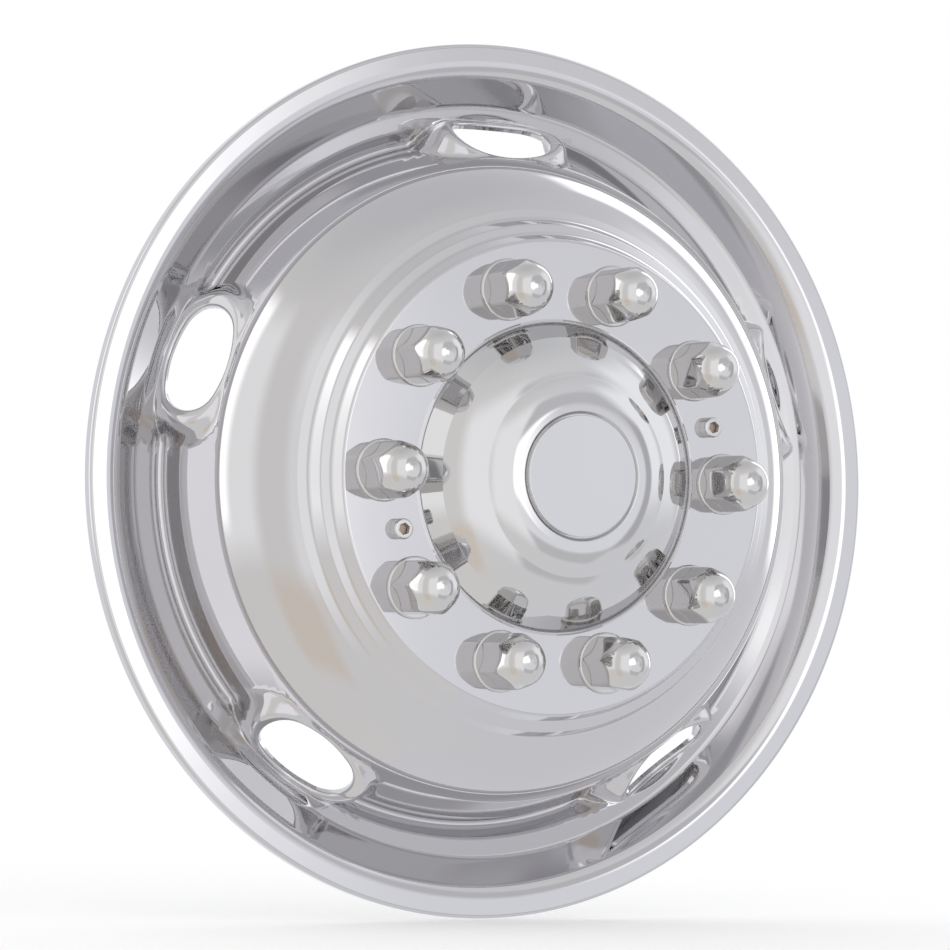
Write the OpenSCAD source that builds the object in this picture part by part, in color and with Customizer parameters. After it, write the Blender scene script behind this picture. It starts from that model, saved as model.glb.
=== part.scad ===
// Front wheel simulator: a polished steel liner that dresses a dual-wheel truck's front wheel
// The wheel's axis runs along Y, the show side faces -Y and +Z is up
// Heights in the modules run outwards from the plane of the liner's rim edge

/* [Wheel] */
// Diameter of the liner's rim edge
wheel_d = 520; // [515:1:525]
// Circle through the wheel's studs
bolt_circle = 225; // [223:0.5:227]
// Number of studs, each under its own cover
lug_count = 10; // [10]
// Thickness of the pressed sheet
sheet = 1.0; // [0.8:0.1:1.2]

/* [Rim and groove] */
// Depth of the lip that turns back over the rim
lip_depth = 7; // [5:0.5:9]
// Width of the flat flange
flange_w = 16; // [14:0.5:18]
// Width of the wall that dips from the flange to the ledge
wall_w = 19.5; // [18:0.5:21]
// Drop from the flange to the ledge
wall_drop = 17; // [15:0.5:19]
// Width of the ledge
ledge_w = 11; // [9:0.5:12]
// Drop across the ledge
ledge_drop = 2.5; // [1.5:0.5:3.5]
// Slope of the groove's outer side
groove_slope = 42; // [38:1:46]

/* [Dome] */
// Diameter of the dome where it crosses the flange plane
dome_d = 389; // [385:1:393]
// Lean of the dome's wall from the wheel's axis
dome_lean = 8; // [6:1:10]
// Slope of the dome where it meets the outermost ring
dome_slope = 32; // [28:1:36]
// Radius of the dome's bulge
dome_round = 75; // [55:1:78]
// Height of the lug face over the rim edge
face_h = 77; // [74:1:80]
// Diameter of the lug face
face_d = 276; // [274:1:280]
// Number of pressed rings between the lug face and the dome
ring_count = 3; // [2:1:3]
// Width of each ring
ring_w = 9.5; // [8.5:0.5:10.5]
// Rise of each ring
ring_rise = 10; // [9:0.5:11]
// Slope of a ring's tread
tread_slope = 25; // [20:1:30]
// Slope of a ring's riser
riser_slope = 62; // [58:1:68]

/* [Hand holes] */
// Number of hand holes
hand_count = 5; // [5]
// Angle of the first hand hole
hand_start = 90; // [88:1:92]
// Half of a hole's length round the wheel
hand_long = 32; // [30:0.5:34]
// Half of a hole's width across the groove
hand_wide = 22.7; // [21:0.1:24]
// Radius of a hole's ends
hand_end = 18.5; // [17:0.5:20]
// Distance of a hole's centre from the wheel's axis
hand_r = 205.3; // [204:0.1:207]
// Height of a hole's centre over the rim edge
hand_h = 5; // [3:0.5:7]
// Slope of a hole's axis over the radial direction
hand_tilt = 24; // [22:1:26]
// Depth of the edge turned in round a hole
hand_edge = 7; // [5:0.5:8]
// Width of the flat land round a hole
land_w = 6.7; // [6:0.1:8]
// How far the land is set towards the ledge
land_shift = 2.7; // [2:0.1:3.5]

/* [Hub cover] */
// Diameter of the liner's centre opening
hub_open_d = 181; // [180.5:0.1:182]
// Diameter of the hub wall at the lug face
hub_d = 177.8; // [177:0.1:178.5]
// Slope of the hub wall
hub_wall_slope = 53; // [51:1:56]
// Rise of the hub wall over the lug face
hub_wall_h = 11; // [10:0.5:12]
// Diameter of the crease between the two tiers
crease_d = 116; // [112:1:120]
// Height of the crease over the lug face
crease_h = 24; // [23:0.5:25]
// Width of the flange that is welded behind the liner
hub_flange_w = 4.5; // [3.5:0.5:5]

/* [Hub disc] */
// Diameter of the plain disc in the hub's recess
disc_d = 70; // [66:1:71]
// Thickness of the disc
disc_t = 2.5; // [2:0.5:3]
// Gap round the disc
disc_gap = 1; // [0.5:0.1:1.5]
// Depth of the recess
recess_h = 1.5; // [1:0.1:2]
// Height of the second tier over the lug face
tier_h = 30.2; // [29.5:0.1:31]

/* [Lug covers] */
// Width of a cover across its flats
cover_af = 29.6; // [28:0.2:30]
// Height of a cover over the lug face
cover_h = 37; // [35:0.5:39]
// Wall of a cover
cover_wall = 0.9; // [0.8:0.1:1.1]
// Diameter of a cover's collar
collar_d = 36; // [35:0.5:38]
// Thickness of the collar
collar_t = 2.2; // [1.8:0.1:2.6]
// Diameter of the skirt that passes through the liner
skirt_d = 30; // [29:0.2:31]
// Clearance between the skirt and its hole
skirt_gap = 0.2; // [0.1:0.05:0.3]
// Width of the skirt's rolled lip behind the liner
roll_w = 1.6; // [1.2:0.1:2]
// Thickness of the rolled lip
roll_t = 1.2; // [1:0.1:1.5]

/* [Brackets] */
// Angle of the first bracket's middle, halfway between two studs
bracket_angle = 18; // [18]
// Diameter of a wheel stud's hole in the bracket
stud_hole_d = 15; // [14.5:0.1:15.5]
// Width of the bracket strap
strap_w = 38; // [34:1:42]
// Thickness of the strap
strap_t = 4; // [3:0.5:5]
// Depth of the strap's back below the lug face
seat_depth = 21; // [20:1:24]
// Diameter of the bracket's own threaded stud
post_d = 8; // [7:1:9]
// Diameter of the stud's welded head
head_d = 14; // [12:1:16]
// Thickness of the welded head
head_t = 1.6; // [1:0.1:2]
// Width of the spacer nut across its flats
spacer_af = 17; // [15:1:19]
// Diameter of the socket nut
socket_d = 12; // [11.5:0.1:12.5]
// Height of the socket nut over the lug face
socket_h = 6.7; // [6:0.1:7.5]
// Width of the nut's socket across its flats
socket_af = 6.4; // [5.5:0.1:6.8]
// Depth of the socket
socket_depth = 3; // [2.5:0.1:3.5]
// Clearance of the threads, drawn plain
thread_gap = 0.05; // [0.03:0.01:0.1]
// Gap between the stud and its hole in the liner
post_gap = 0.5; // [0.3:0.1:0.8]
// Distance of the stud's end below the socket's floor
tip_gap = 0.5; // [0.3:0.1:1]

/* [Hidden] */
$fn = 96;

// How far each lug cover was turned when it was pressed in
cover_turn = [2, 12, -10, 4, 20, 10, 25, -8, 22, 0];
// Press radii of the liner's bends on the show side
lip_round = 2.5;
flange_round = 6;
ledge_round = 5;
brow_round = 3.5;
groove_round = 4.5;
ring_round = 2.2;
valley_round = 5;
// Press radii of the hub cover's bends
hub_foot_round = 1.4;
hub_edge_round = 2.2;
crease_round = 2;
tier_round_1 = 48;
tier_round_2 = 32;
recess_round = 1.6;
// Slopes at which the hub's two tiers start and end
tier_1_start = 40;
tier_1_end = 17;
tier_2_start = 33;
tier_2_end = 2;
recess_slope = 45;

rim_r = wheel_d / 2;
face_r = face_d / 2;
pcd_r = bolt_circle / 2;
lug_step = 360 / lug_count;
post_r = pcd_r * cos(lug_step / 2);
back_h = face_h - sheet;
seat_h = face_h - seat_depth;
strap_h = seat_h + strap_t;
skirt_r = skirt_d / 2;
thread_r = post_d / 2 + thread_gap;
socket_r = socket_af / (2 * cos(30));
// Centres and radius of the arcs of a hand hole's oval, and how far its cut reaches inwards
hand_mid = hand_long - hand_end;
hand_side = (hand_mid * hand_mid + hand_wide * hand_wide - hand_end * hand_end)
    / (2 * (hand_wide - hand_end));
hand_reach = 40;

// Unit vector at an angle
function ray(angle) = [cos(angle), sin(angle)];

// Where a ray from p at angle a meets a ray from q at angle b
function meet(p, a, q, b) =
    let (d = q - p, s = (d.x * sin(b) - d.y * cos(b)) / sin(b - a))
    p + s * ray(a);

// Direction from p to q in degrees
function heading(p, q) = atan2(q.y - p.y, q.x - p.x);

// Corner k of a path whose points are [x, y, round]
function at(path, k) = [path[k].x, path[k].y];

// Points of one rounded corner, one for each 8 degrees of its turn or 4 mm of its arc
function corner(a, b, c, round) =
    let (
        u = heading(b, a),
        turn = (heading(b, c) - u + 540) % 360 - 180,
        half = turn / 2,
        centre = b + ray(u + half) * round / sin(abs(half)),
        sweep = 180 - abs(turn),
        steps = max(2, ceil(sweep / 8), ceil(round * sweep * PI / 180 / 4)),
        start = u - sign(turn) * 90
    )
    [for (i = [0 : steps]) centre + round * ray(start - sign(turn) * sweep * i / steps)];

// A path with its corners rounded
function rounded(path) = [
    for (k = [0 : len(path) - 1])
        each k == 0 || k == len(path) - 1
            ? [at(path, k)]
            : corner(at(path, k - 1), at(path, k), at(path, k + 1), path[k][2])
];

// The same path moved to its left by t, with radii that keep the sheet's thickness even
function moved(path, t) = [
    for (k = [0 : len(path) - 1])
        let (
            last = len(path) - 1,
            d1 = k > 0 ? heading(at(path, k - 1), at(path, k)) : heading(at(path, 0), at(path, 1)),
            d2 = k < last ? heading(at(path, k), at(path, k + 1)) : d1,
            n = ray(d1 + 90) + ray(d2 + 90),
            bend = sin(d2 - d1),
            p = at(path, k) + n * t / (1 + cos(d2 - d1))
        )
        [p.x, p.y, max(0.2, path[k][2] - sign(bend) * t)]
];

// Section of a sheet of thickness t whose show side follows the path
function sheet_section(path, t) =
    let (back = rounded(moved(path, t)))
    concat(rounded(path), [for (k = [len(back) - 1 : -1 : 0]) back[k]]);

// Bend points of the liner, from its lip to its centre opening
ledge_out = [rim_r - flange_w - wall_w, -wall_drop];
ledge_in = ledge_out - [ledge_w, ledge_drop];
dome_foot = [dome_d / 2, 0];
function ring(i) = [face_r + i * ring_w, face_h - i * ring_rise];
outer_ring = ring(ring_count - 1);
groove = meet(ledge_in, 180 + groove_slope, dome_foot, 90 + dome_lean);
shoulder = meet(dome_foot, 90 + dome_lean, outer_ring, -dome_slope);
function bend(p, round) = [p.x, p.y, round];

groove_path = [
    [rim_r - flange_w, 0, flange_round],
    bend(ledge_out, ledge_round),
    bend(ledge_in, brow_round),
    bend(groove, groove_round),
    bend(shoulder, dome_round)
];

ring_path = [
    for (i = [ring_count - 1 : -1 : 1])
        each [
            bend(ring(i), ring_round),
            bend(meet(ring(i), 180 - tread_slope, ring(i - 1), -riser_slope), valley_round)
        ]
];

liner_path = concat(
    [[rim_r, -lip_depth, 0], [rim_r, 0, lip_round]],
    groove_path,
    ring_path,
    [bend(ring(0), ring_round), [hub_open_d / 2, face_h, 0]]
);

// Bend points of the hub cover, from its flange to its centre
hub_r = hub_d / 2;
hub_edge = [hub_r - hub_wall_h / tan(hub_wall_slope), face_h + hub_wall_h];
hub_foot = [hub_r + sheet / tan(hub_wall_slope), back_h];
crease = [crease_d / 2, face_h + crease_h];
recess_r = disc_d / 2 + disc_gap;
recess_floor = face_h + tier_h - recess_h;
recess_edge = [recess_r + recess_h / tan(recess_slope), face_h + tier_h];

hub_path = [
    [hub_open_d / 2 + hub_flange_w, back_h, 0],
    bend(hub_foot, hub_foot_round),
    bend(hub_edge, hub_edge_round),
    bend(meet(hub_edge, 180 - tier_1_start, crease, -tier_1_end), tier_round_1),
    bend(crease, crease_round),
    bend(meet(crease, 180 - tier_2_start, recess_edge, -tier_2_end), tier_round_2),
    bend(recess_edge, recess_round),
    [recess_r, recess_floor, recess_round],
    [0, recess_floor, 0]
];

// Stands a piece that was drawn flat upright, with its show side towards -Y
module upright() rotate([90, 0, 0]) children();

// Puts a piece on a circle round the wheel's axis
module around(angle, radius, height) rotate([0, 0, angle]) translate([radius, 0, height]) children();

// Oval of four arcs, grown evenly by a margin, from its plane down
module oval(grow) {
    flank = hand_side + grow;
    limit = hand_mid * flank / (hand_side - hand_end);
    translate([0, 0, -hand_reach]) {
        for (s = [-1, 1])
            translate([0, s * hand_mid, 0]) cylinder(r = hand_end + grow, h = hand_reach);
        intersection() {
            translate([hand_side - hand_wide, 0, 0]) cylinder(r = flank, h = hand_reach);
            translate([hand_wide - hand_side, 0, 0]) cylinder(r = flank, h = hand_reach);
            translate([-wheel_d, -limit, 0]) cube([2 * wheel_d, 2 * limit, hand_reach]);
        }
    }
}

// Solid under the land of one hand hole, or the pocket behind it
module land(grow) translate([land_shift, 0, 0]) oval(grow);

// Puts a piece in the plane of each hand hole, where it runs inwards from the plane
module at_hands(lift = 0)
    for (k = [0 : hand_count - 1])
        rotate([0, 0, hand_start + k * 360 / hand_count])
            translate([hand_r, 0, hand_h])
                rotate([0, 90 - hand_tilt, 0])
                    translate([0, 0, lift]) children();

// All the space in front of the middle of the liner's sheet
module front_space() rotate_extrude() polygon(concat(
    rounded(moved(liner_path, sheet / 2)),
    [[hub_open_d / 2, 2 * face_h], [wheel_d, 2 * face_h], [wheel_d, -lip_depth]]
));

// The pressed dish: lip, flange, groove, dome, rings, lug face and every hole
module liner() upright() color("gainsboro") difference() {
    union() {
        difference() {
            union() {
                rotate_extrude() polygon(sheet_section(liner_path, sheet));
                intersection() {
                    front_space();
                    at_hands() land(land_w);
                }
            }
            at_hands(-sheet) land(land_w - 1.5 * sheet);
        }
        at_hands() intersection() {
            oval(sheet);
            translate([-hand_long, -2 * hand_long, -hand_edge])
                cube([2 * hand_long, 4 * hand_long, hand_edge]);
        }
    }
    at_hands(1) oval(0);
    for (i = [0 : lug_count - 1])
        around(i * lug_step, pcd_r, back_h - sheet)
            cylinder(r = skirt_r + skirt_gap, h = 3 * sheet);
    for (side = [0, 180])
        around(bracket_angle + side, post_r, back_h - sheet)
            cylinder(r = post_d / 2 + post_gap, h = 3 * sheet);
}

// The stepped dome over the wheel's hub, welded behind the liner's opening
module hub_cover() upright() color("lightgray")
    rotate_extrude() polygon(sheet_section(hub_path, sheet));

// Plain disc in the recess at the centre of the hub cover
module hub_disc() upright() color("silver") translate([0, 0, recess_floor])
    rotate_extrude() polygon(concat([[0, 0]], rounded([
        [0, 0, 0], [disc_d / 2, 0, 0.3], [disc_d / 2, disc_t, 0.6], [0, disc_t, 0]
    ])));

// Acorn shape of a lug cover, a wall thinner for its inside
module acorn(wall) {
    flat_r = cover_af / 2 - wall;
    top = cover_h - wall;
    centre = top - flat_r;
    shoulder_h = centre - 4;
    edge_r = flat_r / cos(30);
    intersection() {
        cylinder(r = edge_r, h = top, $fn = 6);
        union() {
            cylinder(r = edge_r, h = shoulder_h);
            translate([0, 0, shoulder_h]) cylinder(r1 = edge_r, r2 = flat_r, h = centre - shoulder_h);
            translate([0, 0, centre]) sphere(r = flat_r);
        }
    }
}

// A hollow cover over one wheel nut, pressed into the liner and rolled over behind it
module lug_cover(i) upright() color("silver") around(i * lug_step, pcd_r, face_h)
    rotate([0, 0, cover_turn[i] - i * lug_step]) difference() {
        union() {
            acorn(0);
            rotate_extrude() polygon(concat([[0, 0]], rounded([
                [0, 0, 0], [collar_d / 2, 0, 0.3], [collar_d / 2, collar_t, 1.2], [0, collar_t, 0]
            ])));
            translate([0, 0, -sheet - roll_t]) cylinder(r = skirt_r, h = sheet + roll_t + 0.5);
            translate([0, 0, -sheet - roll_t]) cylinder(r = skirt_r + roll_w, h = roll_t);
        }
        acorn(cover_wall);
        translate([0, 0, -sheet - roll_t - 1])
            cylinder(r = skirt_r - 1, h = sheet + roll_t + 1.5);
    }

// Puts a piece at one of the two brackets
module at_bracket(side, height) upright() around(bracket_angle + 180 * side, post_r, height) children();

// Flat strap that two wheel nuts hold, with its own stud between them
module mount_bracket(side) color("slategray") at_bracket(side, seat_h) {
    reach = pcd_r * sin(lug_step / 2);
    difference() {
        union() {
            for (s = [-1, 1]) translate([0, s * reach, 0]) cylinder(d = strap_w, h = strap_t);
            translate([-strap_w / 2, -reach, 0]) cube([strap_w, 2 * reach, strap_t]);
        }
        for (s = [-1, 1])
            translate([0, s * reach, -1]) cylinder(d = stud_hole_d, h = strap_t + 2);
        translate([0, 0, -1]) cylinder(r = thread_r, h = strap_t + 2);
        translate([0, 0, -1]) cylinder(r = head_d / 2 + thread_gap, h = head_t + 1);
    }
}

// Threaded stud welded into the strap, with its head flush at the back
module bracket_stud(side) color("darkkhaki") at_bracket(side, seat_h) {
    cylinder(d = head_d, h = head_t);
    cylinder(d = post_d, h = seat_depth + socket_h - socket_depth - tip_gap);
}

// Hexagonal nut that sets the liner's distance from the strap
module spacer_nut(side) color("darkgray") at_bracket(side, strap_h) difference() {
    cylinder(r = spacer_af / (2 * cos(30)), h = back_h - strap_h, $fn = 6);
    translate([0, 0, -1]) cylinder(r = thread_r, h = back_h - strap_h + 2);
}

// Round nut with a hexagonal socket, the only fastener seen from the front
module socket_nut(side) color("silver") at_bracket(side, face_h) difference() {
    rotate_extrude() polygon(concat([[0, 0]], rounded([
        [0, 0, 0], [socket_d / 2, 0, 0.2], [socket_d / 2, socket_h, 1.2], [0, socket_h, 0]
    ])));
    translate([0, 0, -1]) cylinder(r = thread_r, h = socket_h - socket_depth + 1);
    cylinder(r = socket_r, h = socket_h + 1, $fn = 6);
}

liner();
hub_cover();
hub_disc();
for (i = [0 : lug_count - 1])
    lug_cover(i);
for (side = [0, 1]) {
    mount_bracket(side);
    bracket_stud(side);
    spacer_nut(side);
    socket_nut(side);
}
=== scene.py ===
"""A polished front wheel simulator for a dual-wheel truck, in a pale studio.

Sizes are in millimetres and in the wheel's own terms: r is the distance from its axis, h the
height out of the rim's plane towards the viewer. The row frame has X = x, Y = -h, Z = y, in metres.
Angles are in degrees unless a name says otherwise.
"""

import math

import bpy
import numpy as np
from mathutils import Matrix, Vector


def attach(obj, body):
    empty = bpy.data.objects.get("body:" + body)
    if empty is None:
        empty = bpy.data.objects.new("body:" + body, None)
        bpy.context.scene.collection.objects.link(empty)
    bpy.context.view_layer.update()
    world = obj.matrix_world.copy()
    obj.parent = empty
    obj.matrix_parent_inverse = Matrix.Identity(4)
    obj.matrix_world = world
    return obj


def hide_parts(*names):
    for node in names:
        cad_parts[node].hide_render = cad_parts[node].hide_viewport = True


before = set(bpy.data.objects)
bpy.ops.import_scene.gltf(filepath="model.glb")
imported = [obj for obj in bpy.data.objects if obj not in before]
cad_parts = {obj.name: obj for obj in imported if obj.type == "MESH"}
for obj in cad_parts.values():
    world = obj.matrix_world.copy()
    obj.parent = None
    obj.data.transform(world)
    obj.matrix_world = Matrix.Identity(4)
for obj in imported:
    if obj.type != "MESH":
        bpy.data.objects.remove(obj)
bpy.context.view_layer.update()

# The part's own dimensions
SHEET = 1.0
RIM_R, LIP_DEPTH, FLANGE_W = 260.0, 7, 16
WALL_W, WALL_DROP = 19.5, 17.0
LEDGE_W, LEDGE_DROP, GROOVE_SLOPE = 11, 2.5, 50
FOOT_R, FOOT_H = 200.5, -9.0
# Directions of the sheet from the dome's foot, into the groove and up the flank, and slopes above it
FOOT_LEAN, FLANK_LEAN = 98, 110
DOME_SLOPE, TREAD_SLOPE, RISER_SLOPE = 32, 25, 62
FACE_H, FACE_R = 77.0, 138.0
RING_W, RING_RISE, RING_COUNT = 9.5, 10.0, 3
PCD_R = 112.5
HUB_OPEN_R, HUB_R, HUB_FLANGE_W = 90.5, 88.9, 4.5
HUB_WALL_SLOPE, HUB_WALL_H = 53.0, 11.0
CREASE_R, CREASE_H = 58.0, 24.0
DISC_R, DISC_T, DISC_GAP = 35.0, 2.5, 1.0
RECESS_H, TIER_H = 1.5, 30.2
COVER_COUNT, COVER_WALL = 10, 0.9
COVER_AF, COVER_H, COLLAR_R, COLLAR_T = 29.6, 37.0, 18.0, 2.2
SKIRT_R, ROLL_W, ROLL_T = 15.0, 1.6, 1.2
# How far each cover was turned when it was fitted
COVER_TURN = [2, 12, -10, 4, 20, 10, 25, -8, 22, 0]

# A hand hole: its centre, the slope of its plane, half its length and width, the radius of its
# ends, the depth of its turned-in edge and the radius of the roll into it
HAND_R, HAND_H, HAND_TILT = 203.2, -3.0, 35.0
HAND_LONG, HAND_WIDE, HAND_END = 31.5, 19.3, 17.0
HAND_EDGE, HAND_ROLL = 4.0, 1.8
# How far a hole's ends rise from its plane and shift towards the dome
HAND_RISE, HAND_SHIFT = 4.6, 3.2
HAND_STEP = 72
HAND_ANGLES = [90 + HAND_STEP * k for k in range(5)]

# Where sections end near the axis, and the gap that keeps touching faces apart
AXIS_R = 0.01
CLEAR = 0.02


def ray(angle):
    return np.array([math.cos(math.radians(angle)), math.sin(math.radians(angle))])


def meet(p, a, q, b):
    """Where a ray from p at angle a meets a ray from q at angle b."""
    d = np.subtract(q, p)
    across = d[0] * math.sin(math.radians(b)) - d[1] * math.cos(math.radians(b))
    return np.add(p, across / math.sin(math.radians(b - a)) * ray(a))


class Path:
    """An open line with rounded corners (r, h, radius), followed by arc length."""

    def __init__(self, corners):
        pts = [np.array(c[:2], float) for c in corners]
        self.pieces = []
        last = pts[0]
        for a, b, c, (_, _, radius) in zip(pts, pts[1:], pts[2:], corners[1:]):
            u, v = (a - b) / np.linalg.norm(a - b), (c - b) / np.linalg.norm(c - b)
            half = math.acos(max(-1.0, min(1.0, float(u @ v)))) / 2
            if radius <= 0 or half > math.radians(89.8):
                self._line(last, b)
                last = b
                continue
            cut = radius / math.tan(half)
            start = b + u * cut
            self._line(last, start)
            centre = b + (u + v) / np.linalg.norm(u + v) * radius / math.sin(half)
            side = 1.0 if u[0] * v[1] - u[1] * v[0] < 0 else -1.0
            arc = (centre, radius, math.atan2(*(start - centre)[::-1]), side * (math.pi - 2 * half))
            self.pieces.append(("arc", arc, radius * abs(arc[3])))
            last = b + v * cut
        self._line(last, pts[-1])
        self.ends = np.cumsum([p[2] for p in self.pieces])
        self.length = float(self.ends[-1])

    def _line(self, a, b):
        length = float(np.linalg.norm(b - a))
        if length > 1e-6:
            self.pieces.append(("line", (a, (b - a) / length), length))

    def at(self, s):
        """Points and unit directions at arc lengths s."""
        s = np.clip(np.asarray(s, float), 0, self.length)
        which = np.minimum(np.searchsorted(self.ends, s, side="left"), len(self.pieces) - 1)
        pos, run = np.zeros(s.shape + (2,)), np.zeros(s.shape + (2,))
        for i, (kind, data, length) in enumerate(self.pieces):
            m = which == i
            if not m.any():
                continue
            t = s[m] - (self.ends[i] - length)
            if kind == "line":
                pos[m] = data[0] + t[:, None] * data[1]
                run[m] = data[1]
            else:
                centre, radius, start, sweep = data
                a = start + sweep * t / length
                pos[m] = centre + radius * np.stack([np.cos(a), np.sin(a)], -1)
                run[m] = math.copysign(1, sweep) * np.stack([-np.sin(a), np.cos(a)], -1)
        return pos, run

    def samples(self, step_deg, step_mm):
        """Arc lengths close enough together to draw the path."""
        out, base = [0.0], 0.0
        for kind, data, length in self.pieces:
            n = math.ceil(length / step_mm)
            if kind == "arc":
                n = max(n, math.ceil(math.degrees(abs(data[3])) / step_deg))
            out += [base + length * i / n for i in range(1, n + 1)]
            base += length
        return np.array(out)

    def nearest(self, r, h):
        """Arc length of the point closest to (r, h)."""
        s = np.linspace(0, self.length, 20001)
        p, _ = self.at(s)
        return float(s[np.argmin(np.hypot(p[:, 0] - r, p[:, 1] - h))])


def row(p):
    """Points in the wheel's terms, as points of the row frame in metres."""
    return np.stack([p[..., 0], -p[..., 2], p[..., 1]], -1) / 1000


def turn(v, angle):
    """Points or normals turned about the wheel's axis."""
    c, s = math.cos(math.radians(angle)), math.sin(math.radians(angle))
    return np.stack([v[..., 0] * c - v[..., 1] * s, v[..., 0] * s + v[..., 1] * c, v[..., 2]], -1)


def unit(v, least):
    """Vectors of length 1. Lengths under least count as least."""
    return v / np.maximum(np.linalg.norm(v, axis=-1, keepdims=True), least)


def mesh(name, points, faces, normals, material, replaces):
    """One object from points in the wheel's terms, with its own exact normals."""
    data = bpy.data.meshes.new(name)
    data.from_pydata(row(points).tolist(), [], faces)
    data.update()
    data.polygons.foreach_set("use_smooth", [True] * len(data.polygons))
    data.normals_split_custom_set_from_vertices(unit(row(normals) * 1000, 1e-9).tolist())
    obj = bpy.data.objects.new(name, data)
    bpy.context.scene.collection.objects.link(obj)
    obj.data.materials.append(material)
    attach(obj, "root")
    if replaces:
        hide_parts(*replaces)


def grid_faces(rows, cols, base, closed):
    """Quads of a grid whose first point has the index base. Closed, its last column meets the first."""
    faces = []
    for i in range(rows - 1):
        here, there = base + i * cols, base + (i + 1) * cols
        for j in range(cols if closed else cols - 1):
            k = (j + 1) % cols
            faces.append((here + j, here + k, there + k, there + j))
    return faces


class Builder:
    """Gathers grids of points with normals into one mesh."""

    def __init__(self):
        self.points, self.normals, self.faces, self.count = [], [], [], 0

    def grid(self, points, normals, closed=False):
        """Adds a grid, with its faces turned the way its normals point."""
        rows, cols = points.shape[:2]
        p, n = points.reshape(-1, 3), normals.reshape(-1, 3)
        faces = grid_faces(rows, cols, self.count, closed)
        a, b, c = (p[np.array([f[i] for f in faces]) - self.count] for i in (0, 1, 2))
        lean = np.einsum("ij,ij->i", np.cross(b - a, c - a), n[[f[0] - self.count for f in faces]])
        if lean.sum() < 0:
            faces = [f[::-1] for f in faces]
        self.points.append(p)
        self.normals.append(n)
        self.faces += faces
        self.count += len(p)

    def done(self, name, material, replaces=(), place=None, back=False):
        """Makes the object. place moves the points and normals first, and back turns the faces round."""
        points, normals = np.concatenate(self.points), np.concatenate(self.normals)
        if place is not None:
            points, normals = place(points, normals)
        faces = [f[::-1] for f in self.faces] if back else self.faces
        mesh(name, points, faces, normals, material, replaces)


def spin(path, s, phi, left=False):
    """Points and normals of a path turned about the axis. The normal is to the path's right, or left."""
    pos, run = path.at(s)
    side = np.stack([run[:, 1], -run[:, 0]], -1) * (-1 if left else 1)
    c, d = np.cos(phi), np.sin(phi)
    points = np.stack([pos[:, None, 0] * c, pos[:, None, 0] * d, pos[:, None, 1] + 0 * c], -1)
    normals = np.stack([side[:, None, 0] * c, side[:, None, 0] * d, side[:, None, 1] + 0 * c], -1)
    return points, normals


# Materials
def noise(nt, scale, detail=None, vector=None):
    node = nt.nodes.new("ShaderNodeTexNoise")
    node.inputs["Scale"].default_value = scale
    if detail is not None:
        node.inputs["Detail"].default_value = detail
    if vector is not None:
        nt.links.new(vector, node.inputs["Vector"])
    return node.outputs["Fac"]


def vary_roughness(nt, bsdf, factor, low, high):
    spread = nt.nodes.new("ShaderNodeMapRange")
    spread.inputs["To Min"].default_value = low
    spread.inputs["To Max"].default_value = high
    nt.links.new(factor, spread.inputs["Value"])
    nt.links.new(spread.outputs["Result"], bsdf.inputs["Roughness"])


def polished(name, colour, roughness, wobble):
    """Mirror-polished steel: a slow change of tone and of slope, and a fine change of gloss."""
    m = bpy.data.materials.new(name)
    m.use_nodes = True
    nt = m.node_tree
    nt.nodes.clear()
    out = nt.nodes.new("ShaderNodeOutputMaterial")
    bsdf = nt.nodes.new("ShaderNodeBsdfPrincipled")
    bsdf.inputs["Metallic"].default_value = 1.0
    nt.links.new(bsdf.outputs[0], out.inputs[0])
    where = nt.nodes.new("ShaderNodeTexCoord").outputs["Object"]
    slow = noise(nt, 9.0, 2.0, where)
    tone = nt.nodes.new("ShaderNodeMix")
    tone.data_type = "RGBA"
    tone.inputs["A"].default_value = (*[c * 0.97 for c in colour], 1)
    tone.inputs["B"].default_value = (*[min(1, c * 1.03) for c in colour], 1)
    nt.links.new(slow, tone.inputs["Factor"])
    nt.links.new(tone.outputs["Result"], bsdf.inputs["Base Color"])
    vary_roughness(nt, bsdf, noise(nt, 60.0, 4.0, where), roughness * 0.8, roughness * 1.25)
    bump = nt.nodes.new("ShaderNodeBump")
    bump.inputs["Strength"].default_value = 1.0
    bump.inputs["Distance"].default_value = wobble
    nt.links.new(slow, bump.inputs["Height"])
    nt.links.new(bump.outputs["Normal"], bsdf.inputs["Normal"])
    return m


def plain_metal(name, colour, roughness, metallic=1.0):
    """Unpolished steel with a fine change of gloss."""
    m = bpy.data.materials.new(name)
    m.use_nodes = True
    nt = m.node_tree
    bsdf = nt.nodes["Principled BSDF"]
    bsdf.inputs["Metallic"].default_value = metallic
    bsdf.inputs["Base Color"].default_value = (*colour, 1)
    vary_roughness(nt, bsdf, noise(nt, 250.0), roughness * 0.8, roughness * 1.2)
    return m


SHEET_LOOK = polished("polished_sheet", (0.585, 0.577, 0.588), 0.045, 0.0002)
HUB_LOOK = polished("polished_hub", (0.61, 0.605, 0.61), 0.04, 0.0001)
COVER_LOOK = polished("polished_cover", (0.59, 0.58, 0.575), 0.05, 0.00005)
NUT_LOOK = polished("polished_nut", (0.6, 0.595, 0.59), 0.1, 0.00005)
BACK_LOOK = plain_metal("mill_sheet", (0.66, 0.665, 0.68), 0.5, 0.4)
STRAP_LOOK = plain_metal("bracket_steel", (0.55, 0.55, 0.56), 0.4)
STUD_LOOK = plain_metal("stud_steel", (0.36, 0.29, 0.24), 0.35)
SPACER_LOOK = plain_metal("spacer_steel", (0.6, 0.6, 0.6), 0.35)
# The look of a CAD node, by the first word of its name
LOOKS = {
    "bracket": STUD_LOOK, "mount": STRAP_LOOK, "spacer": SPACER_LOOK, "socket": NUT_LOOK,
    "liner": SHEET_LOOK, "hub": HUB_LOOK, "lug": COVER_LOOK,
}
for node_name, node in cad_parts.items():
    node.data.materials.clear()
    node.data.materials.append(LOOKS[node_name.split("_")[0]])

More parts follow.
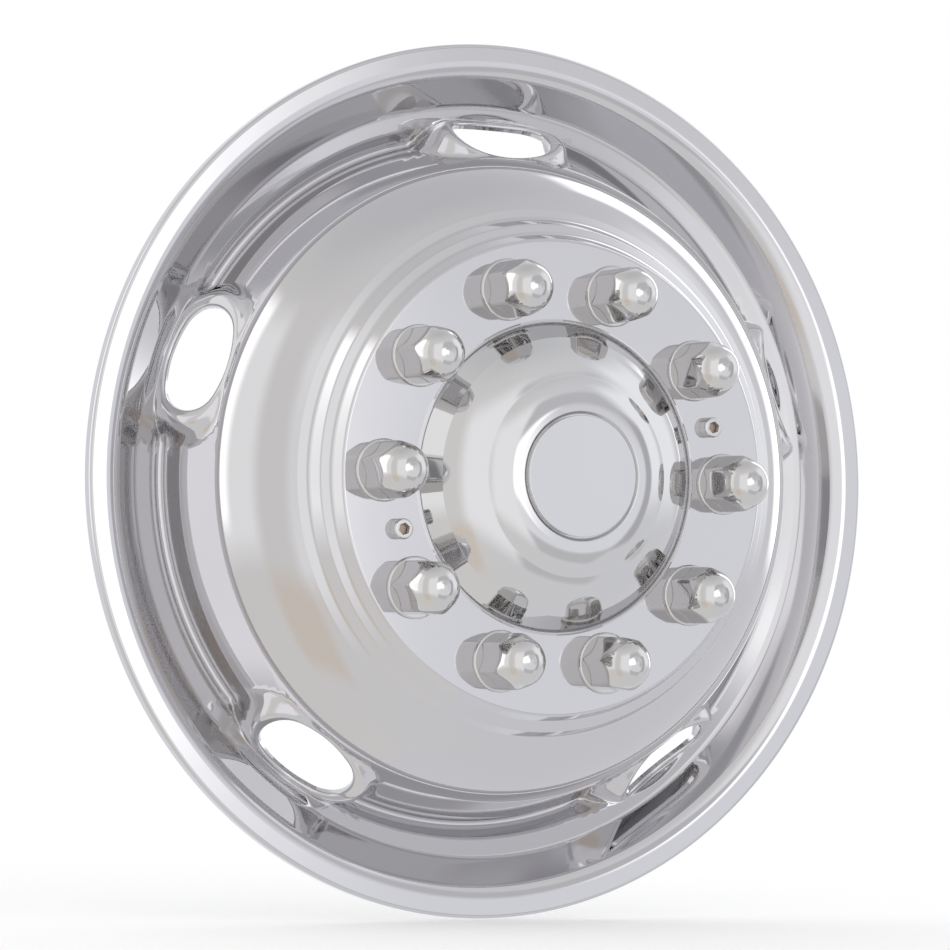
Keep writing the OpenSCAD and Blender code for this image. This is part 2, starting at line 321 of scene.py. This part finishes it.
# The liner's section, from the lip to the centre opening
ledge_out = np.array([RIM_R - FLANGE_W - WALL_W, -WALL_DROP])
ledge_in = ledge_out - [LEDGE_W, LEDGE_DROP]
dome_foot = np.array([FOOT_R, FOOT_H])
rings = [np.array([FACE_R + i * RING_W, FACE_H - i * RING_RISE]) for i in range(RING_COUNT)]
groove = meet(ledge_in, 180 + GROOVE_SLOPE, dome_foot, FOOT_LEAN)
shoulder = meet(dome_foot, FLANK_LEAN, rings[-1], -DOME_SLOPE)
ring_round, valley_round = 2.2, 5
edge_w, edge_rise = 1.2, 0.45
corners = [
    (RIM_R, -LIP_DEPTH, 0), (RIM_R, 0, 2.5), (RIM_R - FLANGE_W, 0, 16), (*ledge_out, 9), (*ledge_in, 5),
    (*groove, 2.5), (*dome_foot, 3), (*shoulder, 75),
]
for i in range(RING_COUNT - 1, 0, -1):
    valley = meet(rings[i], 180 - TREAD_SLOPE, rings[i - 1], -RISER_SLOPE)
    corners += [(*rings[i], ring_round), (*valley, valley_round)]
corners += [
    (*rings[0], ring_round), (HUB_OPEN_R + edge_w, FACE_H, 0.4),
    (HUB_OPEN_R, FACE_H + edge_rise, 0.3), (HUB_OPEN_R, FACE_H - SHEET, 0),
]
liner = Path(corners)

# The band of the liner that holds the hand holes. x is the distance from a hole's centre across
# the groove, in the hole's plane and towards the ledge, y the distance round the wheel.
tilt = math.radians(HAND_TILT)
LAND_IN, LAND_OUT = -22.6, 21.4
BAND_IN, BAND_OUT = -37.0, 32.0
# Half the angle round the wheel that one hole's patch takes
PATCH = 16
s_in, s_out = (
    liner.nearest(HAND_R + x * math.sin(tilt), HAND_H - x * math.cos(tilt)) for x in (LAND_IN, LAND_OUT))
# Past the land, x and the liner's arc length change by the same amount, as far as this
BEYOND = 60
BAND_X = [LAND_IN - BEYOND, LAND_IN, LAND_OUT, LAND_OUT + BEYOND]
BAND_S = [s_in + BEYOND, s_in, s_out, s_out - BEYOND]


def across_to_s(x):
    return np.interp(x, BAND_X, BAND_S)


def s_to_across(s):
    return np.interp(s, BAND_S[::-1], BAND_X[::-1])


# A hand hole's edge is an oval of four arcs: two ends, centred hand_mid from its middle, and two flanks
hand_mid = HAND_LONG - HAND_END
hand_side = (hand_mid**2 + HAND_WIDE**2 - HAND_END**2) / (2 * (HAND_WIDE - HAND_END))


def oval(x, y):
    """Distance outside a hand hole's edge, and the unit direction away from it."""
    sx, sy = np.where(x < 0, -1.0, 1.0), np.where(y < 0, -1.0, 1.0)
    ax, ay = np.abs(x), np.abs(y)
    # A point belongs to an end arc when it lies beyond the line through both arcs' centres
    end = ay * (hand_side - HAND_WIDE) - (ax + hand_side - HAND_WIDE) * hand_mid > 0
    ex, ey = ax, ay - hand_mid
    fx, fy = ax + hand_side - HAND_WIDE, ay
    de, df = np.hypot(ex, ey), np.hypot(fx, fy)
    dist = np.where(end, de - HAND_END, df - hand_side)
    nx = np.where(end, ex / np.maximum(de, 1e-9), fx / np.maximum(df, 1e-9)) * sx
    ny = np.where(end, ey / np.maximum(de, 1e-9), fy / np.maximum(df, 1e-9)) * sy
    return dist, nx, ny


def smooth(t):
    """A step from 0 to 1 with no kink in slope or curvature."""
    t = np.clip(t, 0, 1)
    return t * t * t * (t * (6 * t - 15) + 10)


def land_point(x, y, w=0.0):
    """A point of the saddle that a hand hole is cut in, w above it, with the saddle's slope along y."""
    t = np.clip(np.abs(y) / HAND_LONG, 0, 1.6)
    rise = HAND_RISE * t**2 + w
    x = x - HAND_SHIFT * t**2
    slope = 2 * HAND_RISE * t / HAND_LONG * np.where(y < 0, -1.0, 1.0)
    return np.stack([
        HAND_R + x * math.sin(tilt) + rise * math.cos(tilt), y + 0 * x,
        HAND_H - x * math.cos(tilt) + rise * math.sin(tilt)], -1), slope


def band_point(x, phi):
    """The pressed surface near a hand hole: the groove, blended into the hole's saddle."""
    pos, _ = liner.at(across_to_s(x).ravel())
    pos = pos.reshape(x.shape + (2,))
    r, h = pos[..., 0], pos[..., 1]
    turned = np.stack([r * np.cos(phi), r * np.sin(phi), h], -1)
    y = (HAND_R + x * math.sin(tilt)) * np.tan(phi)
    land, _ = land_point(x, y)
    dist, _, ny = oval(x, y)
    # The blend is short beside the hole's flanks and long beyond its ends
    reach = 6.0 + 15.0 * ny**2
    keep = 1 - smooth((dist - HAND_ROLL - ny**2) / reach)
    return turned + keep[..., None] * (land - turned)


def band_grid(x, phi, centre):
    """Points and normals of the band at matching arrays of x and phi."""
    e, f = 0.02, 0.0001
    dx = band_point(x + e, phi) - band_point(x - e, phi)
    dp = band_point(x, phi + f) - band_point(x, phi - f)
    return turn(band_point(x, phi), centre), turn(unit(np.cross(dx, dp), 1e-12), centre)


def oval_reach(angle):
    """Distance from a hand hole's centre to its edge, in directions given in radians."""
    a = np.linspace(0, 2 * math.pi, 1441)
    reach = np.full(a.shape, 20.0)
    for _ in range(40):
        d, nx, ny = oval(reach * np.cos(a), reach * np.sin(a))
        reach -= d / np.maximum(nx * np.cos(a) + ny * np.sin(a), 0.2)
    return np.interp(angle, a, reach)


def hole_patch(build, centre, xs, col_deg, fine):
    """The square of sheet round one hole, from the hole's turned-in edge out to the band's grid."""
    half = math.radians(PATCH)
    cols = np.radians(np.arange(-PATCH, PATCH + 0.5, col_deg))
    # The square's own outline, once round, as x and as the angle round the wheel
    vx = np.concatenate([
        np.full(len(cols) - 1, xs[0]), xs[:-1], np.full(len(cols) - 1, xs[-1]), xs[::-1][:-1]])
    vp = np.concatenate([
        cols[:-1], np.full(len(xs) - 1, half), cols[::-1][:-1], np.full(len(xs) - 1, -half)])
    vy = (HAND_R + vx * math.sin(tilt)) * np.tan(vp)
    # The hole's edge in the direction of each outer point
    angle = np.arctan2(vy, vx * 1.15) % (2 * math.pi)
    far = oval_reach(angle)
    bx, by = far * np.cos(angle), far * np.sin(angle)
    _, nx, ny = oval(bx, by)
    ring_p, ring_n = [], []

    # The turned-in edge and its roll: distance outwards from the hole's edge, height, and lean
    profile = [(0.0, -HAND_EDGE, 0.0), (0.0, -HAND_ROLL, 0.0)]
    for t in np.linspace(0, math.pi / 2, fine)[1:]:
        profile.append((HAND_ROLL * (1 - math.cos(t)), -HAND_ROLL * (1 - math.sin(t)), t))
    for d_out, w, lean in profile:
        p, slope = land_point(bx + nx * d_out, by + ny * d_out, w)
        up = np.stack([math.cos(tilt) + 0 * slope, -slope, math.sin(tilt) + 0 * slope], -1)
        up /= np.linalg.norm(up, axis=-1, keepdims=True)
        inward = -np.stack([nx * math.sin(tilt), ny, -nx * math.cos(tilt)], -1)
        inward -= up * np.sum(inward * up, -1, keepdims=True)
        inward /= np.linalg.norm(inward, axis=-1, keepdims=True)
        ring_p.append(turn(p, centre))
        ring_n.append(turn(inward * math.cos(lean) + up * math.sin(lean), centre))

    # From the roll out to the square's outline, in steps that widen
    qx, qy = bx + nx * HAND_ROLL, by + ny * HAND_ROLL
    for t in np.linspace(0, 1, 2 * fine + 14)[1:] ** 1.2:
        x = qx + (vx - qx) * t
        y = qy + (vy - qy) * t
        p, n = band_grid(x, np.arctan2(y, HAND_R + x * math.sin(tilt)), centre)
        ring_p.append(p)
        ring_n.append(n)
    build.grid(np.array(ring_p), np.array(ring_n), closed=True)


def liner_side(build, col_deg, step_deg, step_mm, fine):
    """All of the liner's show side: grids outside and inside the band, the band, and the holes' patches."""
    s = liner.samples(step_deg, step_mm)
    lo, hi = across_to_s(BAND_OUT), across_to_s(BAND_IN)
    near = 0.2
    all_phi = np.radians(np.arange(0, 360, col_deg))
    outer = np.concatenate([s[s < lo - near], [lo]])
    inner = np.concatenate([[hi], s[s > hi + near]])
    for part in (outer, inner):
        build.grid(*spin(liner, part, all_phi), closed=True)
    xs = s_to_across(np.concatenate([[lo], s[(s > lo + near) & (s < hi - near)], [hi]]))
    # Between two holes' patches, the second half is drawn from the next hole
    between = np.radians(np.arange(PATCH, HAND_STEP - PATCH + 0.5, col_deg))
    second = between > math.radians(HAND_STEP / 2)
    x, phi = np.meshgrid(xs, np.where(second, between - math.radians(HAND_STEP), between), indexing="ij")
    for centre in HAND_ANGLES:
        p, n = band_grid(x, phi, centre)
        p[:, second], n[:, second] = turn(p[:, second], HAND_STEP), turn(n[:, second], HAND_STEP)
        build.grid(p, n)
        hole_patch(build, centre, xs, col_deg, fine)


def made_liner():
    show = Builder()
    liner_side(show, col_deg=1.0, step_deg=5.0, step_mm=7.0, fine=10)
    show.done("liner_show_side", SHEET_LOOK, ("liner",))
    back = Builder()
    liner_side(back, col_deg=2.0, step_deg=8.0, step_mm=8.0, fine=4)
    back.done(
        "liner_back_side", BACK_LOOK,
        place=lambda p, n: (p - n * SHEET, -n), back=True)


def thick(corners, sheet):
    """The closed section of a sheet whose show side follows the corners."""
    pts = [np.array(c[:2], float) for c in corners]
    last = len(pts) - 1
    back = []
    for k, p in enumerate(pts):
        d1 = p - pts[k - 1] if k else pts[1] - p
        d2 = pts[k + 1] - p if k < last else d1
        a1, a2 = (math.atan2(d[1], d[0]) for d in (d1, d2))
        n = np.array([-math.sin(a1) - math.sin(a2), math.cos(a1) + math.cos(a2)])
        move = n * sheet / (1 + math.cos(a2 - a1))
        radius = max(0.2, corners[k][2] - math.copysign(sheet, math.sin(a2 - a1))) if 0 < k < last else 0.0
        back.append((*(p + move), radius))
    return corners + back[::-1] + corners[:1]


def lathe(name, corners, replaces):
    """A piece of the hub, turned about the axis from its section."""
    path, cols = Path(corners), 240
    build = Builder()
    around = np.linspace(0, 2 * math.pi, cols, endpoint=False)
    build.grid(*spin(path, path.samples(6.0, 5.0), around), closed=True)
    build.done(name, HUB_LOOK, replaces)


def made_hub():
    steepness = math.tan(math.radians(HUB_WALL_SLOPE))
    edge = np.array([HUB_R - HUB_WALL_H / steepness, FACE_H + HUB_WALL_H])
    foot = (HUB_R + SHEET / steepness, FACE_H - SHEET)
    crease = (CREASE_R, FACE_H + CREASE_H)
    recess_r = DISC_R + DISC_GAP
    floor_h = FACE_H + TIER_H - RECESS_H
    brim = (recess_r + RECESS_H, FACE_H + TIER_H)
    # Each tier leaves its outer end and meets its inner end at a slope of its own
    tier_1, tier_2 = meet(edge, 180 - 40, crease, -17), meet(crease, 180 - 33, brim, -2)
    # The last point but one keeps the shading of the hub's back flat up to the axis
    lathe("hub_dome", thick([
        (HUB_OPEN_R + HUB_FLANGE_W, FACE_H - SHEET - CLEAR, 0), (*foot, 1.4), (*edge, 2.2),
        (*tier_1, 48), (*crease, 2), (*tier_2, 32),
        (*brim, 0.7), (recess_r, floor_h, 1.2), (0.3, floor_h, 0), (AXIS_R, floor_h, 0),
    ], SHEET), ("hub_cover",))
    top_h = floor_h + DISC_T
    lathe("centre_disc", [
        (AXIS_R, floor_h, 0), (DISC_R, floor_h, 0.3), (DISC_R, top_h, 0.45), (AXIS_R, top_h, 0),
    ], ("hub_disc",))


def rounded_hex(theta, af, power=26):
    """Radius of a hexagon af across its flats, in directions theta. A higher power has sharper corners."""
    total = sum(np.abs(np.cos(theta - math.radians(60 * k))) ** power for k in range(3))
    return af / 2 / total ** (1 / power)


def acorn(build, wall, cols, step_deg, step_mm, base):
    """The hexagonal cap: a hexagon that a round, domed top cuts off. With a wall, the cap's inside."""
    flat = COVER_AF / 2 - wall
    top = COVER_H - wall
    centre = top - flat
    outer = flat / math.cos(math.radians(30))
    dome = Path([
        (AXIS_R, top, 0), (outer * 0.62, top - 1.2, 12), (outer * 0.97, centre + 1.5, 10),
        (outer + 0.8, centre - 8, 4), (outer + 0.8, base, 0),
    ])
    s = dome.samples(step_deg, step_mm)
    theta = np.linspace(0, 2 * math.pi, cols, endpoint=False)
    sharp = 34.0

    def point(s_, t_):
        pos, _ = dome.at(s_.ravel())
        pos = pos.reshape(s_.shape + (2,))
        r = (pos[..., 0] ** -sharp + rounded_hex(t_, 2 * flat) ** -sharp) ** (-1 / sharp)
        return np.stack([r * np.cos(t_), r * np.sin(t_), pos[..., 1]], -1)

    sg, tg = np.meshgrid(s, theta, indexing="ij")
    e = 1e-4
    before, after = np.clip(sg - e, 0, dome.length), np.clip(sg + e, 0, dome.length)
    n = np.cross(point(after, tg) - point(before, tg), point(sg, tg + e) - point(sg, tg - e))
    n = unit(n, 1e-15)
    points, middle = point(sg, tg), len(s) // 2
    if (n[middle] * points[middle])[..., :2].sum() < 0:
        n = -n
    n[0] = [0, 0, 1]
    build.grid(points, -n if wall > 0 else n, closed=True)


def made_covers():
    cols = 96
    around = np.linspace(0, 2 * math.pi, cols, endpoint=False)
    inner_r, roll_r, behind = SKIRT_R - 1, SKIRT_R + ROLL_W, -SHEET - CLEAR
    collar = Path([
        (inner_r, COLLAR_T, 0), (COLLAR_R, COLLAR_T, 1.3), (COLLAR_R, CLEAR, 0.3), (SKIRT_R, CLEAR, 0),
        (SKIRT_R, behind, 0), (roll_r, behind, 0.3), (roll_r, -SHEET - ROLL_T, 0.5),
        (inner_r, -SHEET - ROLL_T, 0), (inner_r, 0, 0),
    ])
    for i in range(COVER_COUNT):
        build = Builder()
        acorn(build, wall=0.0, cols=cols, step_deg=6.0, step_mm=2.5, base=0.5)
        acorn(build, wall=COVER_WALL, cols=48, step_deg=12.0, step_mm=5.0, base=-2.0)
        build.grid(*spin(collar, collar.samples(10, 4), around, left=True), closed=True)
        angle, own = math.radians(360 / COVER_COUNT * i), COVER_TURN[i]

        def place(p, n, angle=angle, own=own):
            p, n = turn(p, own), turn(n, own)
            return p + [PCD_R * math.cos(angle), PCD_R * math.sin(angle), FACE_H], n

        name = "lug_cover_%02d" % (i + 1)
        build.done("cap_%02d" % (i + 1), COVER_LOOK, (name,), place)


made_liner()
made_hub()
made_covers()

# The photograph's camera, from its measured pose: how far it leans off the wheel's axis, which way
# the wheel leans in the picture, its roll, its place in metres and its focal length in pixels
lean, twist, roll = math.radians(28.22), math.radians(4.7), math.radians(2.92)
OFF_X, OFF_Y, DISTANCE = -0.01088, 0.00321, 2.6
FOCAL_PX, IMAGE_PX, SENSOR_W = 4372, 950, 36
outwards = Vector((0, -1, 0))
e1 = Vector((math.cos(twist), 0, math.sin(twist)))
e2 = Vector((-math.sin(twist), 0, math.cos(twist)))
cam_x = (
    outwards * math.sin(lean) * math.cos(roll) + e1 * math.cos(lean) * math.cos(roll)
    - e2 * math.sin(roll))
cam_y = (
    outwards * math.sin(lean) * math.sin(roll) + e1 * math.cos(lean) * math.sin(roll)
    + e2 * math.cos(roll))
cam_z = outwards * math.cos(lean) - e1 * math.sin(lean)
camera = bpy.data.objects.new("camera", bpy.data.cameras.new("camera"))
bpy.context.scene.collection.objects.link(camera)
spot = OFF_X * cam_x + OFF_Y * cam_y + DISTANCE * cam_z
camera.matrix_world = Matrix((
    (cam_x.x, cam_y.x, cam_z.x, spot.x), (cam_x.y, cam_y.y, cam_z.y, spot.y),
    (cam_x.z, cam_y.z, cam_z.z, spot.z), (0, 0, 0, 1),
))
camera.data.sensor_width = SENSOR_W
camera.data.lens = FOCAL_PX / IMAGE_PX * SENSOR_W
camera.data.clip_end = 50
scene = bpy.context.scene
scene.camera = camera

# The studio's floor, in metres, just under the rim
FLOOR_REACH, FLOOR_Z = 8.0, -RIM_R / 1000 - 0.001
floor_mesh = bpy.data.meshes.new("floor")
floor_mesh.from_pydata(
    [(x * FLOOR_REACH, y * FLOOR_REACH, FLOOR_Z) for x, y in ((-1, -1), (1, -1), (1, 1), (-1, 1))],
    [], [(0, 1, 2, 3)])
floor = bpy.data.objects.new("floor", floor_mesh)
scene.collection.objects.link(floor)
floor_look = bpy.data.materials.new("floor")
floor_look.use_nodes = True
nt = floor_look.node_tree
pale = nt.nodes["Principled BSDF"]
pale.inputs["Base Color"].default_value = (0.95, 0.95, 0.95, 1)
pale.inputs["Roughness"].default_value = 1.0
pale.inputs["Emission Color"].default_value = (1, 1, 1, 1)
# The floor looks white to the camera alone, and gives the object no more light for it
rays = nt.nodes.new("ShaderNodeLightPath")
lift = nt.nodes.new("ShaderNodeMath")
lift.operation = "MULTIPLY"
lift.inputs[1].default_value = 0.24
nt.links.new(rays.outputs["Is Camera Ray"], lift.inputs[0])
nt.links.new(lift.outputs[0], pale.inputs["Emission Strength"])
# The metal sees the studio's own lower half where the floor is, and the camera the floor
clear = nt.nodes.new("ShaderNodeBsdfTransparent")
either = nt.nodes.new("ShaderNodeMixShader")
nt.links.new(rays.outputs["Is Glossy Ray"], either.inputs["Fac"])
nt.links.new(pale.outputs[0], either.inputs[1])
nt.links.new(clear.outputs[0], either.inputs[2])
nt.links.new(either.outputs[0], nt.nodes["Material Output"].inputs["Surface"])
floor_mesh.materials.append(floor_look)

# The studio as the metal sees it: its right, its left and its top, and the tone it lights with
RIGHT_TONE, LEFT_TONE, TOP_TONE = (0.90, 0.91, 0.94), (0.93, 0.92, 0.90), (0.76, 0.77, 0.79)
DIFFUSE_TONE, CAMERA_TONE = (0.8, 0.8, 0.8), (1.0, 1.0, 1.0)
# Its soft panels: azimuth from straight in front, elevation, half sizes and soft edge, all in
# degrees, and the colour that the panel has
PANELS = [
    ((180, 0), (36, 48), 16, (0.98, 1.0, 1.05)),
    ((28, -4), (13, 7), 6, (1.04, 1.06, 1.11)),
    ((70, 18), (12, 14), 16, (1.24, 1.26, 1.29)),
    ((-12, 4), (16, 20), 20, (1.20, 1.20, 1.22)),
    ((-92, 12), (14, 26), 14, (1.18, 1.18, 1.18)),
    ((-50, -40), (13, 8), 12, (0.90, 0.82, 0.73)),
    ((113, 24), (6, 24), 8, (2.10, 2.15, 2.20)),
    ((-110, 17), (6, 25), 9, (1.85, 1.85, 1.84)),
    ((26, 22), (13, 6), 8, (0.74, 0.745, 0.78)),
    ((26, -24), (13, 5), 7, (0.74, 0.74, 0.76)),
    ((50, 0), (4, 14), 7, (0.62, 0.62, 0.66)),
    ((17, 4), (6, 4), 5, (1.95, 1.95, 1.97)),
]
TO_DEGREES = 57.2958


def set_input(nt, socket, value):
    """Links a socket to an output, or gives it a number or an RGB colour."""
    if hasattr(value, "is_linked"):
        nt.links.new(value, socket)
    else:
        socket.default_value = (*value, 1) if isinstance(value, tuple) else value


def math_node(nt, operation, *inputs):
    node = nt.nodes.new("ShaderNodeMath")
    node.operation = operation
    for socket, value in zip(node.inputs, inputs):
        set_input(nt, socket, value)
    return node.outputs[0]


def ramp(nt, value, full, none):
    """1 where value is below full, 0 above none, and a smooth step between."""
    node = nt.nodes.new("ShaderNodeMapRange")
    node.interpolation_type = "SMOOTHSTEP"
    keys = ("Value", "From Min", "From Max", "To Min", "To Max")
    for key, given in zip(keys, (value, full, none, 1, 0)):
        set_input(nt, node.inputs[key], given)
    return node.outputs["Result"]


def blend(nt, factor, a, b):
    """The colour a where factor is 0 and b where it is 1."""
    node = nt.nodes.new("ShaderNodeMix")
    node.data_type = "RGBA"
    for key, value in (("Factor", factor), ("A", a), ("B", b)):
        set_input(nt, node.inputs[key], value)
    return node.outputs["Result"]


world = bpy.data.worlds.new("studio")
scene.world = world
world.use_nodes = True
nt = world.node_tree
nt.nodes.clear()
split = nt.nodes.new("ShaderNodeSeparateXYZ")
nt.links.new(nt.nodes.new("ShaderNodeTexCoord").outputs["Generated"], split.inputs[0])
ahead = math_node(nt, "MULTIPLY", split.outputs["Y"], -1.0)
azimuth = math_node(nt, "MULTIPLY", math_node(nt, "ARCTAN2", split.outputs["X"], ahead), TO_DEGREES)
elevation = math_node(nt, "MULTIPLY", math_node(nt, "ARCSINE", split.outputs["Z"]), TO_DEGREES)
colour = blend(nt, ramp(nt, azimuth, -70, 70), RIGHT_TONE, LEFT_TONE)
colour = blend(nt, ramp(nt, elevation, 40, 80), TOP_TONE, colour)
for (az, el), (wide, high), soft, tone in PANELS:
    turned = math_node(nt, "WRAP", math_node(nt, "SUBTRACT", azimuth, float(az)), 180.0, -180.0)
    risen = math_node(nt, "SUBTRACT", elevation, float(el))
    in_width = ramp(nt, math_node(nt, "ABSOLUTE", turned), wide, wide + soft)
    in_height = ramp(nt, math_node(nt, "ABSOLUTE", risen), high, high + soft)
    colour = blend(nt, math_node(nt, "MULTIPLY", in_width, in_height), colour, tone)
rays = nt.nodes.new("ShaderNodeLightPath").outputs
mirrored = math_node(nt, "MAXIMUM", rays["Is Glossy Ray"], rays["Is Transmission Ray"])
colour = blend(nt, mirrored, DIFFUSE_TONE, colour)
colour = blend(nt, rays["Is Camera Ray"], colour, CAMERA_TONE)
background = nt.nodes.new("ShaderNodeBackground")
nt.links.new(colour, background.inputs["Color"])
nt.links.new(background.outputs[0], nt.nodes.new("ShaderNodeOutputWorld").inputs[0])

scene.view_settings.view_transform = "Standard"
